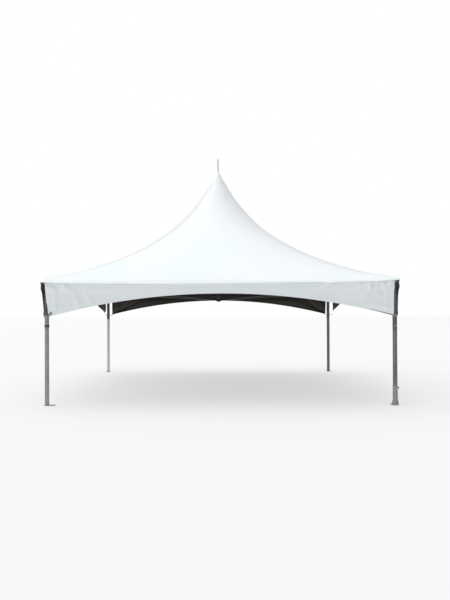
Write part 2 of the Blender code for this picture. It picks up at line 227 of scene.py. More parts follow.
vinylWhite = coatedVinyl("coatedVinylWhite", vinylLook)
# painted shade: the valances are the roof's own vinyl, made cooler and darker for the open
# shade on the upright cloth
vinylValanceShade = coatedVinyl("coatedVinylWhiteCool", vinylLook, light="#edf0f4",
                        dark="#e6eeed", broadScale=1.3)
# painted shade: a greyer copy of the roof's vinyl for the left panel, for the shade along
# its grazing edge
vinylLeftShade = coatedVinyl("coatedVinylGreyed", vinylLook, light="#e9eaec", dark="#e1e4e5")
vinylLining = coatedVinyl("coatedVinylDarkLining", vinylLook, light="#3d3932",
                          dark="#2d2a25", creaseScale=2.6, weaveBump=0.15,
                          creaseBump=0.2, smooth=0.45, rough=0.62)
# each leg's tube is the same aluminium, lightened or darkened for the light that falls on
# it: painted light on the back left leg, painted shade on the front right and back right
# legs
legTubeMetals = {
    "front_left": drawnMetal("millFinishAluminiumUpright", tubeLook),
    "front_right": drawnMetal("millFinishAluminiumWorn", roughTubeLook, light="#8b8b87",
                              dark="#5f5f5b"),
    "back_right": drawnMetal("millFinishAluminiumDull", roughTubeLook, light="#7f8182",
                             dark="#606263"),
    "back_left": drawnMetal("millFinishAluminiumBright", tubeLook, light="#cfd1d3",
                            dark="#b3b5b7"),
}
levelTubeMetal = drawnMetal("millFinishAluminiumLevel", tubeLook, stretch=(6.0, 6.0, 60.0))
# painted shade: the legs' upper lengths, under the valances and the roof, take this darker
# copy of the tube metal
legTopShadeMetal = drawnMetal("aluminiumTubeTarnished", tubeLook, light="#747677",
                         dark="#4c4e4f", smooth=0.22, rough=0.4)
# painted shade: the mast and its foot stand in the roof's shade and are painted dark for it
shadedSteel = drawnMetal("weatheredSteelDark", tubeLook, light="#565757", dark="#3e3f3f",
                       smooth=0.4, rough=0.6)
castMetal = drawnMetal("sandCastAluminium", castLook)
zincMetal = drawnMetal("hotDipGalvanisedSteel", castLook, light="#c2c4c2", dark="#9fa1a0",
                       cloudScale=38.0, lineScale=60.0, bump=0.15, smooth=0.38, rough=0.58)
strandMetal = drawnMetal("galvanisedStrand", castLook, light="#9a9b99", dark="#6d6e6c",
                         cloudScale=20.0, lineScale=90.0, bump=0.1, smooth=0.35, rough=0.5)
greyWebbing = wovenWebbing("polyesterWebbingGrey", webbingLook)
blackWebbing = wovenWebbing("polyesterWebbingBlack", webbingLook, light="#4a4b4c",
                            dark="#333435")
whiteWebbing = wovenWebbing("polyesterWebbingWhite", webbingLook, light="#e8eaea",
                            dark="#d2d5d6")
floorPaint = studioFloor("paleLightTable", floorLook)
print("materials made")


# Sums that several pieces need
def unit(v):
    # each vector divided by its length
    return v / np.maximum(np.linalg.norm(v, axis=-1, keepdims=True), 1e-12)


def bell(value, middle, wide):
    # e to the minus square of how many widths the value is from the middle
    return np.exp(-((value - middle) / wide) ** 2)


def eased(value, low=0.0, high=1.0):
    # 0 below low, 1 above high, and three squares less two cubes between them
    part = np.clip((value - low) / (high - low), 0, 1)
    return part * part * (3 - 2 * part)


def fullTurn(count):
    # the even angles of a circle
    return np.linspace(0, 2 * math.pi, count, endpoint=False)


def levelRing(turn):
    # the cosine and the sine of each angle, level
    return np.stack([np.cos(turn), np.sin(turn), 0 * turn], -1)


def lengthAlong(line):
    # how far each point is from the first, step by step
    return np.concatenate([[0], np.cumsum(np.linalg.norm(np.diff(line, axis=0), axis=1))])


def quarterTurn(points, turns):
    # turns points about Z by a whole number of right angles
    for _ in range(turns):
        points = points[..., [1, 0, 2]] * (-1, 1, 1)
    return points


def steps(points, axis, closed=False):
    # half the way from each point's last neighbour to its next
    if closed:
        return (np.roll(points, -1, axis) - np.roll(points, 1, axis)) / 2
    return np.gradient(points, axis=axis)


def gridNormals(points, closeCols=False):
    # the cross product of the steps along the two ways of the grid
    return unit(np.cross(steps(points, 1, closeCols), steps(points, 0)))


# Mesh helpers
def gridFaces(grid, closeRows=False, closeCols=False, first=0):
    # a face joins four neighbours of the grid; a closed way joins its last to its first
    rows, cols = grid.shape[:2]
    a, b = np.meshgrid(np.arange(rows - 1 + closeRows), np.arange(cols - 1 + closeCols),
                       indexing="ij")
    a2, b2 = (a + 1) % rows, (b + 1) % cols
    quads = np.stack([a * cols + b, a * cols + b2, a2 * cols + b2, a2 * cols + b], -1)
    return quads.reshape(-1, 4) + first


def facesTowards(points, axis, sign, closeCols=False):
    # the grid's faces, turned over if the middle one looks away from the axis
    rows, cols = points.shape[:2]
    faces = gridFaces(points, closeCols=closeCols)
    middle = gridNormals(points, closeCols)[rows // 2, cols // 2, axis]
    return faces if middle * sign > 0 else faces[:, ::-1]


def gridUvs(along, across, faces):
    # the place on the flat cloth of each face's corners
    flat = np.stack(np.broadcast_arrays(along, across), -1)
    return flat.reshape(-1, 2)[faces.ravel()]


def meshFrom(name, points, faces, uvs=None):
    name = camelName(name)
    mesh = bpy.data.meshes.new(name)
    mesh.from_pydata(points.reshape(-1, 3).tolist(), [], faces.tolist())
    if uvs is not None:
        layer = mesh.uv_layers.new(name="UVMap")
        layer.data.foreach_set("uv", uvs.astype(np.float32).ravel())
    obj = bpy.data.objects.new(name, mesh)
    scene.collection.objects.link(obj)
    return obj


def turnOut(obj, merge=1e-5):
    work = bmesh.new()
    work.from_mesh(obj.data)
    bmesh.ops.remove_doubles(work, verts=work.verts, dist=merge)
    bmesh.ops.recalc_face_normals(work, faces=work.faces)
    work.to_mesh(obj.data)
    work.free()


def smoothShade(obj, degrees):
    obj.data.shade_smooth()
    obj.data.set_sharp_from_angle(angle=math.radians(degrees))


def wear(obj, *looks):
    obj.data.materials.clear()
    for look in looks:
        obj.data.materials.append(look)


def clothFrom(name, points, faces, along, across, looks, thickness, degrees=60):
    # the wall grows inwards from the face, and its inside takes the next material
    piece = meshFrom(name, points, faces, gridUvs(along, across, faces))
    wear(piece, *looks)
    smoothShade(piece, degrees)
    wall = piece.modifiers.new("wall", "SOLIDIFY")
    wall.thickness = thickness
    wall.offset = -1.0
    wall.material_offset = 1
    wall.material_offset_rim = 0
    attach(piece, "root")
    return piece


def finishMetal(piece, metals, degrees):
    turnOut(piece)
    wear(piece, *metals)
    smoothShade(piece, degrees)
    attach(piece, "root")


# Roof: height falls as a steep and a soft exponential, times the share still to go
def hipHeight(share):
    t = tent
    fall = (t["steepShare"] * np.exp(-t["steepRate"] * share)
            + (1 - t["steepShare"]) * np.exp(-t["softRate"] * share))
    return t["eaveTop"] + (t["peakTop"] - t["eaveTop"]) * (1 - share) * fall


def roofSurface(turns, share):
    # each section is a superellipse through the hips, a circle by the peak and a square
    # at the eave; the front panel comes first
    t = tent
    side = 2 * (turns % 1) - 1
    square = np.clip((share - t["roundTo"]) / (1 - t["roundTo"]), 0, None)
    square = square ** t["squarePower"]
    middle = np.maximum(square + (1 - square) * math.sqrt(2), 1.0001)
    power = 1 / np.log2(middle)
    out = middle * (1 - (np.abs(side) / middle) ** power) ** (1 / power)
    x, y = t["halfWidth"] * share * side, -t["halfWidth"] * share * out
    angle = np.floor(turns) * math.pi / 2
    cosA, sinA = np.round(np.cos(angle)), np.round(np.sin(angle))
    return np.stack([x * cosA - y * sinA, x * sinA + y * cosA,
                     hipHeight(share) + 0 * x], -1)


# The roof's edge slopes out over the beam and ends in a bent lip at the valance's top
eaveLook = {"rollEnd": 2.105, "stand": 0.060, "fade": 0.12, "endPower": 24,
            # height, rate and start of the two small waves along each side
            "ripples": ((0.0015, 11.3), (0.001, 23.7))}
# where the roll hangs lower, or higher below 0: place along the side, half width, depth
eaveSags = {
    "front": [(-3.075, 0.16, -0.03), (-2.7, 0.3, -0.006), (-0.65, 1.2, 0.013),
              (1.18, 0.2, -0.004), (1.93, 0.08, 0.014), (1.8, 0.05, -0.008),
              (2.45, 0.3, -0.012), (3.075, 0.26, -0.044)],
    "right": [(-3.075, 0.26, -0.044), (-1.6, 0.6, 0.01), (0.3, 0.9, 0.012),
              (1.7, 0.12, 0.016), (2.5, 0.06, -0.008), (3.075, 0.2, -0.03)],
    "back": [(-3.075, 0.2, -0.03), (-1.95, 0.1, 0.018), (-0.4, 1.2, 0.012),
             (1.4, 0.4, 0.006), (2.45, 0.07, 0.01), (3.075, 0.2, -0.03)],
    "left": [(-3.075, 0.2, -0.03), (-2.3, 0.1, 0.014), (-0.9, 0.8, 0.011),
             (1.1, 0.9, 0.009), (2.62, 0.05, -0.007), (3.075, 0.16, -0.03)],
}


def eaveSag(side, x):
    # a bell for each low place, and a small unevenness along the whole side
    (tall, rate), (low, fast) = eaveLook["ripples"]
    sag = tall * np.sin(x * rate + len(side)) + low * np.sin(x * fast + 1)
    for middle, wide, deep in eaveSags[side]:
        sag = sag + deep * bell(x, middle, wide)
    return sag


def eaveStand(x, z):
    # the lip stands out most at its end, and the valance falls back to the eave's line
    e = eaveLook
    along = 1 - np.clip(np.abs(x) / tent["halfWidth"], 0, 1) ** e["endPower"]
    return e["stand"] * along * bell(z, e["rollEnd"], e["fade"])


roofLook = {
    "around": 50, "hipCrowding": 0.35,  # columns a side, which crowd towards the hips
    "rows": 84, "rowPower": 1.7, "topRadius": 0.055,
    "rollBack": 0.062,  # where the fabric starts to turn down over the beam
    "rollRows": 10, "rollStart": 0.036, "rollStop": 0.035,
    "mitre": 0.07,  # how far from a corner the edge starts to turn
    "lipRows": 5, "lipBack": 0.018, "lipRise": 0.032,  # how far in and up the lip starts
    "lipLean": (0.66, -0.75),  # outwards and down where the lip starts
    "thickness": 0.0014,
    "foldHeight": 0.007, "foldAngles": (9.0, 19.0, 31.0), "foldLeans": (1.3, 0.9),
    "foldReach": 0.5, "foldWide": 0.018, "foldSpread": 0.045, "foldCalm": 0.12,
    "gathers": 0.003, "gatherFrom": (0.02, 0.03), "gatherPeak": (0.05, 0.05),
    "gatherFade": 0.1,
    # how much lower the cloth hangs on the right, and its deeper place
    "slack": 0.017, "slackFull": 0.68, "slackRises": (0.02, 0.10),
    "slackFalls": (0.84, 0.97), "slackDip": 0.012, "slackDipAt": (0.25, 0.07),
    "reachLeft": 0.031, "reachRight": 0.010, "reachBack": 0.4, "reachFade": 0.12,
    "turnedUnder": 0.10, "cutSpare": 1.08,  # what the flat cloth has past the eave
}


def cornerFolds(points, look):
    # soft ridges that fan out from each corner: nothing at the corner, highest 0.5 m away
    gaps = np.sort(tent["halfWidth"] - np.abs(points[..., :2]))
    low, high = gaps[..., 0], gaps[..., 1]
    reach = np.hypot(low, high)
    angle = np.degrees(np.arctan2(low, high))
    far = reach / look["foldReach"]
    lean = np.sign(points[..., :2]) @ look["foldLeans"]
    wide = look["foldWide"] + look["foldSpread"] * reach
    total = 0
    for i, middle in enumerate(look["foldAngles"]):
        off = np.radians(angle - middle - lean * (1 + i % 2)) * reach
        total = total + bell(off, 0, wide) * (1 - 0.25 * i)
    calm = np.clip(low / look["foldCalm"], 0, 1)
    return look["foldHeight"] * far * np.exp(1 - far) * total * calm * calm


def peakGathers(turns, share, look):
    # three waves to a side, which start at the patch and fade away down the roof
    start, length = look["gatherFrom"]
    swing = np.sin(turns * math.pi * 6 + 0.7) * bell(share, *look["gatherPeak"])
    return (look["gathers"] * (1 + swing) * 0.5 * np.clip((share - start) / length, 0, 1)
            * np.exp(-share / look["gatherFade"]))


def rightSlack(points, share, look):
    # nothing by the peak, the eave and left of the middle, full by the right hips
    x, y = points[..., 0], points[..., 1]
    toRight = eased(x / np.maximum(np.hypot(x, y), 1e-9), 0.0, look["slackFull"])
    deep = look["slack"] * eased(share, *look["slackRises"]) * (
        1 - eased(share, *look["slackFalls"]))
    return toRight * (deep + look["slackDip"] * bell(share, *look["slackDipAt"]))


def cornerReach(points, look):
    # each eave corner is drawn outwards, most at the corner, nothing 0.3 m away
    gaps = tent["halfWidth"] - np.abs(points)
    pull = bell(np.hypot(gaps[..., :1], gaps[..., 1:2]), 0, look["reachFade"])
    out = np.where(points[..., :1] < 0, look["reachLeft"], look["reachRight"])
    return points + np.sign(points) * (1, look["reachBack"], 0) * out * pull


def roofColumns(look):
    # in quarter turns from the front left hip; they crowd towards the hips by a cosine
    step = np.arange(look["around"]) / look["around"]
    swing = np.cos(math.pi * step)
    step = 0.5 - 0.5 * swing * (1 - look["hipCrowding"] * np.abs(swing))
    step = (step - step[0]) / (1 - 2 * step[0])
    return (np.arange(4)[:, None] + step).ravel()


def roofBody(turns, look):
    # the bare surface, moved along its normals by the folds and gathers less the slack
    half = tent["halfWidth"]
    first = look["topRadius"] / (math.sqrt(2) * half)
    last = 1 - look["rollBack"] / half
    share = np.linspace(0, 1, look["rows"])[:, None] ** look["rowPower"]
    share = first + (last - first) * share
    body = roofSurface(turns[None, :], share)
    lift = cornerFolds(body, look) + peakGathers(turns, share, look)
    lift = lift - rightSlack(body, share, look)
    out = gridNormals(body, True)
    return body + out * lift[..., None] * np.sign(out[..., 2:3])


def roofEdge(turns, body, look):
    # a cubic curve leads from the last row to the lip, which bends down to an upright end
    half, count = tent["halfWidth"], look["around"]
    edge = roofSurface(turns[None, :], np.array([[1.0]]))
    # straight out from each side, turning to the diagonal close to a corner
    weight = np.clip(1 - (half - np.abs(edge)) / look["mitre"], 0, 1) ** 2
    outwards, up = np.sign(edge) * weight * (1, 1, 0), np.array([0, 0, 1.0])
    along = half * (2 * (turns % 1) - 1)
    sag = np.concatenate([eaveSag(side, along[i * count:(i + 1) * count])
                          for i, side in enumerate(sideTurns)])
    edge[..., 2] = eaveLook["rollEnd"] - sag
    end = edge + outwards * eaveStand(along, edge[..., 2])[..., None]
    start = body[-1:]
    lip = end - outwards * look["lipBack"] + up * look["lipRise"]
    lean = outwards * look["lipLean"][0] + up * look["lipLean"][1]
    first = start + unit(start - body[-2:-1]) * look["rollStart"]
    second = lip - lean * look["rollStop"]
    t = np.linspace(0, 1, look["rollRows"] + 1)[1:, None, None]
    roll = ((1 - t) ** 3 * start + 3 * (1 - t) ** 2 * t * first
            + 3 * (1 - t) * t ** 2 * second + t ** 3 * lip)
    t = np.linspace(0, 1, look["lipRows"] + 1)[1:, None, None]
    bend = lip + lean * look["lipBack"] / look["lipLean"][0]
    hang = (1 - t) ** 2 * lip + 2 * (1 - t) * t * bend + t ** 2 * end
    return np.concatenate([roll, hang])


def makeRoof(look):
    # body and edge in one sheet; its flat pattern runs along each side and down the slope
    turns = roofColumns(look)
    body = roofBody(turns, look)
    points = cornerReach(np.concatenate([body, roofEdge(turns, body, look)]), look)
    faces = facesTowards(points, 2, 1, True)
    side = 2 * (turns % 1) - 1
    slope = lengthAlong(points[:, look["around"] // 2])[:, None]
    piece = clothFrom("canopyTop", points, faces, side * slope, slope,
                      (vinylWhite, vinylLining, vinylLeftShade, vinylLining),
                      look["thickness"], 50)
    # the left panel is a little greyer: a painted shade along its grazing edge
    leftPanel = np.tile(turns >= sideTurns["left"], len(points) - 1)
    piece.data.polygons.foreach_set("material_index", 2 * leftPanel.astype(np.int32))
    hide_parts("roof_front", "roof_right", "roof_back", "roof_left")
    return points, turns


roofPoints, roofTurns = makeRoof(roofLook)
print("roof made")

# half width, height over the cloth and thickness of the bands on and under each hip
hipLook = {"seam": (0.024, 0.0018, 0.0008), "webbing": (0.022, -0.0030, 0.0020),
           "firstRow": 9, "across": 9, "reachCols": 25}


def hipBand(kind, turn, corner, cloth, look):
    # each row of the roof is read off at even distances to both sides of the hip, then
    # lifted along the roof's own normals
    halfWide, lift, thickness = look[kind]
    count, near = len(roofTurns), look["reachCols"]
    order = (np.arange(-near, near + 1) + turn * count // 4) % count
    normals = gridNormals(roofPoints, True)
    normals = normals * np.sign(normals[len(normals) // 2, 0, 2])
    reach = np.linspace(-halfWide, halfWide, look["across"])
    points = []
    for i in range(look["firstRow"], roofLook["rows"]):
        row, upright = roofPoints[i, order], normals[i, order]
        place = lengthAlong(row)
        place = place - place[near]
        points.append(np.stack([np.interp(reach, place, row[:, axis])
                                + lift * np.interp(reach, place, upright[:, axis])
                                for axis in range(3)], -1))
    points = np.array(points)
    length = lengthAlong(points[:, look["across"] // 2])[:, None]
    band = clothFrom("hip_" + kind + "_" + corner, points, facesTowards(points, 2, 1),
                     length, reach, (cloth, cloth), thickness)
    return band, (2 * halfWide, length.max())


def makeHipBands(look):
    for turn, corner in enumerate(cornerSigns):
        seam, flat = hipBand("seam", turn, corner, vinylWhite, look)
        tape, flat = hipBand("webbing", turn, corner, greyWebbing, look)


makeHipBands(hipLook)
print("hip seams made")


# Valances: a curtain between the eave and a parabola, its lower corners drawn in
def valanceLow(x):
    return tent["valanceMid"] - tent["valanceDrop"] * (x / tent["archHalf"]) ** 2


def valanceFace(x, z):
    # drawn in by the share of the depth times the cube of the share of the width
    deep = tent["eaveTop"] - valanceLow(tent["valanceEnd"])
    down = np.clip((tent["eaveTop"] - z) / deep, 0, 1.2)
    return tent["halfWidth"] - tent["drawnIn"] * down * np.abs(x / tent["valanceEnd"]) ** 3


valanceLook = {
    "cols": 260, "crowding": 0.86, "rows": 34, "thickness": 0.0014, "inset": 0.0022,
    "lap": 0.012, "lapInset": 0.018,  # how far it reaches up and in behind the roof's edge
    "endPower": 6, "standPower": 12, "foldCount": 9, "foldHeight": 0.011,
    "foldStart": 0.03, "waveStart": 0.25,  # both are at their full height this far down
    "waves": ((0.004, 5.1), (0.003, 8.7)),
    "tuck": 0.011,  # how far the cloth tucks in under the beam it rolls over
    "tuckStart": 0.01, "tuckAt": (0.042, 0.026),
    "swell": 0.45, "swellAt": (0.108, 0.040),  # it swells out again below the tuck
    "hem": 0.024, "hemRows": 4, "hemGap": 0.0003, "hemThickness": 0.0012,
    "deep": 0.62,  # how deep the cloth is cut
}
# where each valance ends and how far the end stands out, at the bottom and at the top,
# for its left and its right end as seen from outside
valanceEnds = {
    "front": ((2.996, 3.028, 0.004, 0.004), (2.985, 2.986, 0.004, 0.004)),
    "right": ((2.975, 3.02, 0.032, 0.004), (2.735, 2.86, 0.042, 0.028)),
    "back": ((2.94, 2.97, 0.006, 0.006), (2.91, 2.915, 0.006, 0.006)),
    "left": ((2.87, 2.96, 0.014, 0.004), (2.975, 3.02, 0.032, 0.034)),
}
# the front's folds, each from x, z to x, z, then its half width and height
frontFolds = [
    (-2.99, 2.1, -2.78, 2.04, 0.024, -0.024), (-2.96, 2.05, -2.82, 1.99, 0.022, 0.02),
    (-2.855, 2.08, -2.85, 1.62, 0.034, 0.014), (-2.7, 2.14, -2.64, 2.02, 0.03, 0.016),
    (-2.95, 1.66, -2.7, 1.72, 0.024, 0.012), (-2.61, 1.92, -2.6, 1.64, 0.02, 0.008),
    (-2.74, 2.08, -2.56, 1.99, 0.05, 0.024), (-2.56, 2.02, -2.4, 1.66, 0.055, 0.022),
    (-2.33, 1.98, -2.19, 1.74, 0.04, 0.014), (-2.42, 2.05, -1.7, 1.93, 0.04, 0.009),
    (-1.55, 2.0, -1.25, 1.86, 0.055, 0.01), (-0.9, 2.13, -1.2, 1.93, 0.07, 0.004),
    (0.25, 2.14, 0.42, 1.96, 0.06, 0.004), (1.25, 2.14, 1.02, 1.93, 0.06, 0.005),
    (1.96, 2.14, 1.72, 1.98, 0.055, 0.036), (1.88, 1.99, 1.64, 1.94, 0.05, -0.012),
    (2.06, 2.1, 2.2, 1.84, 0.06, 0.012), (2.385, 2.17, 2.405, 2.05, 0.026, 0.026),
    (2.54, 2.17, 2.57, 1.98, 0.034, 0.042), (2.59, 2.02, 2.42, 1.86, 0.036, 0.036),
    (2.44, 1.9, 2.3, 1.83, 0.03, 0.014), (2.715, 2.16, 2.73, 2.03, 0.024, -0.022),
    (2.74, 2.09, 2.87, 2.01, 0.036, 0.042), (2.7, 2.0, 2.82, 1.93, 0.024, -0.02),
    (2.865, 2.0, 2.84, 1.62, 0.045, 0.012), (2.935, 2.17, 2.885, 2.03, 0.028, 0.032),
    (3.01, 1.655, 2.56, 1.75, 0.034, 0.02), (2.93, 1.73, 2.6, 1.84, 0.03, -0.008),
]


def otherFolds(seed, count, height):
    # the same kind of folds for a side that the photo doesn't show: long ones up from the
    # lower corners, then short ones down from the eave
    draw = np.random.default_rng(seed)
    folds = []
    for end in (-1, 1):
        for i in range(count // 2 + 1):
            far = draw.uniform(0.15, 1.1)
            folds.append((end * 2.96, 1.56 + draw.uniform(0, 0.02), end * (2.95 - far),
                          min(2.14, 1.75 + draw.uniform(0, 0.4)),
                          draw.uniform(0.025, 0.045), height * draw.uniform(0.6, 1.0)))
        for i in range(count // 2):
            x = end * draw.uniform(1.8, 2.92)
            folds.append((x, 2.15, x - end * draw.uniform(0.02, 0.3),
                          draw.uniform(1.85, 2.03), draw.uniform(0.016, 0.05),
                          height * draw.uniform(-0.8, 1.0)))
    return folds


def foldField(x, z, folds):
    # each fold is a bell across its line that fades to nothing at both ends
    total = np.zeros_like(x)
    for x0, z0, x1, z1, wide, tall in folds:
        length = math.hypot(x1 - x0, z1 - z0)
        ux, uz = (x1 - x0) / length, (z1 - z0) / length
        along = ((x - x0) * ux + (z - z0) * uz) / length
        off = (x - x0) * -uz + (z - z0) * ux
        fade = eased(np.minimum(along, 1 - along) * 4 + 0.25)
        total = total + tall * fade * bell(off, 0, wide)
    return total


def valanceSurface(share, depth, look, side, ends, folds, phase):
    # x runs to the ends' own lines, z from the eave to the parabola; folds push outwards
    near = np.abs(share) ** look["endPower"]
    endLow, endHigh, outLow, outHigh = (np.where(share < 0, *e) for e in zip(*ends))
    whole, rise = tent["valanceEnd"], 1 - depth
    low = valanceLow(np.abs(share) * whole + near * (endLow - whole))
    end = endLow + (endHigh - endLow) * rise
    x = np.sign(share) * (np.abs(share) * whole + near * (end - whole))
    seam = eaveLook["rollEnd"] - eaveSag(side, x)
    top = seam + look["lap"]
    z = top + (low - top) * depth
    under = seam - z
    (tall, rate), (small, fast) = look["waves"]
    wave = tall * np.sin(x * rate + phase) + small * np.sin(x * fast + 2 * phase)
    wave = wave * np.clip(under / look["waveStart"], 0, 1)
    push = foldField(x, z, folds) * np.clip(under / look["foldStart"], 0, 1)
    tuck = bell(under, *look["tuckAt"]) - look["swell"] * bell(under, *look["swellAt"])
    tuck = look["tuck"] * tuck * np.clip(under / look["tuckStart"], 0, 1)
    tuck = tuck + look["lapInset"] * np.clip(-under / look["lap"], 0, 1)
    stand = np.abs(share) ** look["standPower"] * (outLow + (outHigh - outLow) * rise)
    stand = stand + eaveStand(x, z)
    face = valanceFace(x, z) - look["inset"] - tuck + push + wave + stand
    return np.stack([x, -face, z], -1)


valanceShapes = {}


def makeValance(side, folds, phase, look):
    # the columns crowd towards the ends as a sine does
    turns, bend = sideTurns[side], math.pi / 2 * look["crowding"]
    valanceShapes[side] = (side, valanceEnds[side], folds, phase)
    share = np.sin(np.linspace(-1, 1, look["cols"]) * bend) / math.sin(bend)
    depth = np.linspace(0, 1, look["rows"])[:, None]
    points = valanceSurface(share, depth, look, *valanceShapes[side])
    faces = facesTowards(points, 1, -1)
    cloth = clothFrom("valance_cloth_" + side, quarterTurn(points, turns), faces,
                      points[..., 0], points[..., 2] - points[-1:, :, 2],
                      (vinylValanceShade, vinylLining), look["thickness"])
    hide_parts("valance_" + side)
    # the hem is the cloth's lower edge turned up on the inside
    lift = np.linspace(0, 1, look["hemRows"])[:, None] * look["hem"]
    tall = points[0, :, 2] - points[-1, :, 2]
    hem = valanceSurface(share, 1 - lift / tall, look, *valanceShapes[side])
    hem[..., 1] += look["thickness"] + look["hemGap"]
    band = clothFrom("valance_hem_" + side, quarterTurn(hem, turns),
                     facesTowards(hem, 1, -1), hem[..., 0], lift,
                     (vinylLining, vinylLining), look["hemThickness"])


makeValance("front", frontFolds, 0.4, valanceLook)
for side, seed in (("right", 3), ("back", 7), ("left", 5)):
    folds = otherFolds(seed, valanceLook["foldCount"], valanceLook["foldHeight"])
    makeValance(side, folds, seed * 1.3, valanceLook)
print("valances made")

collarLook = {"inner": 0.0118, "outer": 0.160, "lift": 0.0035, "rows": 30, "cols": 144,
              "rowPower": 1.3, "gathers": 12, "gatherHeight": 0.0022,
              "gatherAt": (0.05, 0.04), "gatherOut": 0.8, "thickness": 0.0016,
              "weldHeight": 0.0016,  # two rings welded into the patch near its edge
              "welds": ((0.145, 0.0035, 1.0), (0.128, 0.0025, 0.6)), "cut": 0.46}


def makeCollar(look):
    # doubled fabric drawn up round the pin, with shallow gathers that die out downwards
    share = np.linspace(0, 1, look["rows"])[:, None] ** look["rowPower"]
    radius = look["inner"] + (look["outer"] - look["inner"]) * share
    angle = fullTurn(look["cols"])
    gather = look["gatherHeight"] * (0.5 + 0.5 * np.cos(angle * look["gathers"]))
    gather = gather * bell(radius, *look["gatherAt"])
    ring = sum(part * bell(radius, at, wide) for at, wide, part in look["welds"])
    z = hipHeight(radius / (math.sqrt(2) * tent["halfWidth"])) + look["lift"]
    z = z + gather + look["weldHeight"] * ring
    r = radius + gather * look["gatherOut"]
    points = np.stack([r * np.cos(angle), r * np.sin(angle), z], -1)
    faces = facesTowards(points, 2, 1, True)
    piece = clothFrom("peakPatch", points, faces, angle * radius, radius,
                      (vinylWhite, vinylWhite), look["thickness"])
    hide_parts("peak_collar")


makeCollar(collarLook)
print("peak patch made")


# Tubes: a closed outline of radius and distance, spun about a line
def spunPoints(outline, start, direction, cols=56):
    # the start, plus the distance along the line, plus the radius times a ring square to it
    one = unit(np.cross(direction, [0, 0, 1] if abs(direction[2]) < 0.9 else [1, 0, 0]))
    two = np.cross(direction, one)
    angle = fullTurn(cols)[:, None]
    ring = np.cos(angle) * one + np.sin(angle) * two
    outline = np.array(outline)[:, None]
    return start + outline[..., 1:] * direction + outline[..., :1] * ring


tubeSizes = {"legWall": 0.003, "beamWall": 0.0032, "chamfer": 0.0008, "rings": 8,
             # above these heights each leg takes a painted shade, the shadow of the valances
             # and the roof
             "darkFrom": {"front_left": 1.53, "front_right": 1.27, "back_right": 1.43,
                          "back_left": 1.43}}


def tubePiece(name, node, wall, metals, sizes, darkFrom=None):
    # a wall with chamfered ends along the node's longest way; the second metal, if there
    # is one, is a painted shade on the faces above darkFrom
    low, high = (np.array(corner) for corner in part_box(node))
    start, lie = (low + high) / 2, np.argmax(high - low)
    start[lie] = low[lie]
    length, chamfer = high[lie] - low[lie], sizes["chamfer"]
    square = 0 if lie == 2 else 2
    outer = (high[square] - low[square]) / 2
    inner = outer - wall
    split = 0.5 if darkFrom is None else darkFrom - low[2]
    rings = sorted([*np.linspace(0, length, sizes["rings"])[1:-1], split])
    end = [(inner, 0.0), (outer - chamfer, 0.0), (outer, chamfer)]
    outline = [*end, *((outer, d) for d in rings), *((r, length - d) for r, d in end[::-1])]
    points = spunPoints(outline, start, np.eye(3)[lie])
    tube = meshFrom(name, points, gridFaces(points, True, True))
    finishMetal(tube, metals, 30)
    if darkFrom is not None:
        tube.data.polygons.foreach_set("material_index", [
            int(face.center.z > darkFrom) for face in tube.data.polygons])
    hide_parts(node)


def makeTubes(sizes):
    for corner, metal in legTubeMetals.items():
        tubePiece("leg_tube_" + corner, "leg_" + corner, sizes["legWall"],
                  (metal, legTopShadeMetal), sizes,
                  sizes["darkFrom"][corner])
    for side in sideTurns:
        tubePiece("eave_tube_" + side, "eave_beam_" + side, sizes["beamWall"],
                  (levelTubeMetal,), sizes)
    tubePiece("mastTube", "mast", sizes["beamWall"], (shadedSteel,), sizes)


makeTubes(tubeSizes)
print("tubes made")


# Cross cables: six strands laid round a core, drawn as one twisted outline
cableLook = {"radius": 0.0040, "strands": 6, "dip": 0.0009, "lay": 0.075, "cols": 24,
             "rowsPerLay": 8, "eyeRing": 0.014, "eyeWire": 0.0035, "swage": 0.0065,
             "swageLength": 0.050, "swageLap": 0.001,
             # the eyes' outer ends: out from the mast, and in and down from a leg's top
             "hubAt": 0.0646, "hubHeight": 1.872, "legBack": 0.0876, "legDown": 0.040}


def squareTo(pull):
    # a level direction across the pull, and the one that is square to both
    across = unit(np.cross([0, 0, 1.0], pull))
    return across, np.cross(pull, across)


def ringPoints(centre, pull, big, small, around=40, sides=12):
    # a small circle carried round a big one, which lies level with the pull
    across, rise = squareTo(pull)
    turn, lean = fullTurn(around)[:, None, None], fullTurn(sides)[:, None]
    out = pull * np.cos(turn) + across * np.sin(turn)
    return centre + out * (big + small * np.cos(lean)) + rise * small * np.sin(lean)


def joinGrids(name, grids, metal, degrees):
    # one piece of several tubes, each with closed columns and, where it says so, rows
    points, faces, count = [], [], 0
    for grid, closeRows in grids:
        faces.append(gridFaces(grid, closeRows, True, count))
        points.append(grid.reshape(-1, 3))
        count += len(points[-1])
    piece = meshFrom(name, np.concatenate(points), np.concatenate(faces))
    finishMetal(piece, (metal,), degrees)
    return piece


def capped(outline):
    # closes a spun outline at both ends with tiny rings that merge to a point
    return [(0.0, outline[0][1]), *outline, (0.0, outline[-1][1])]


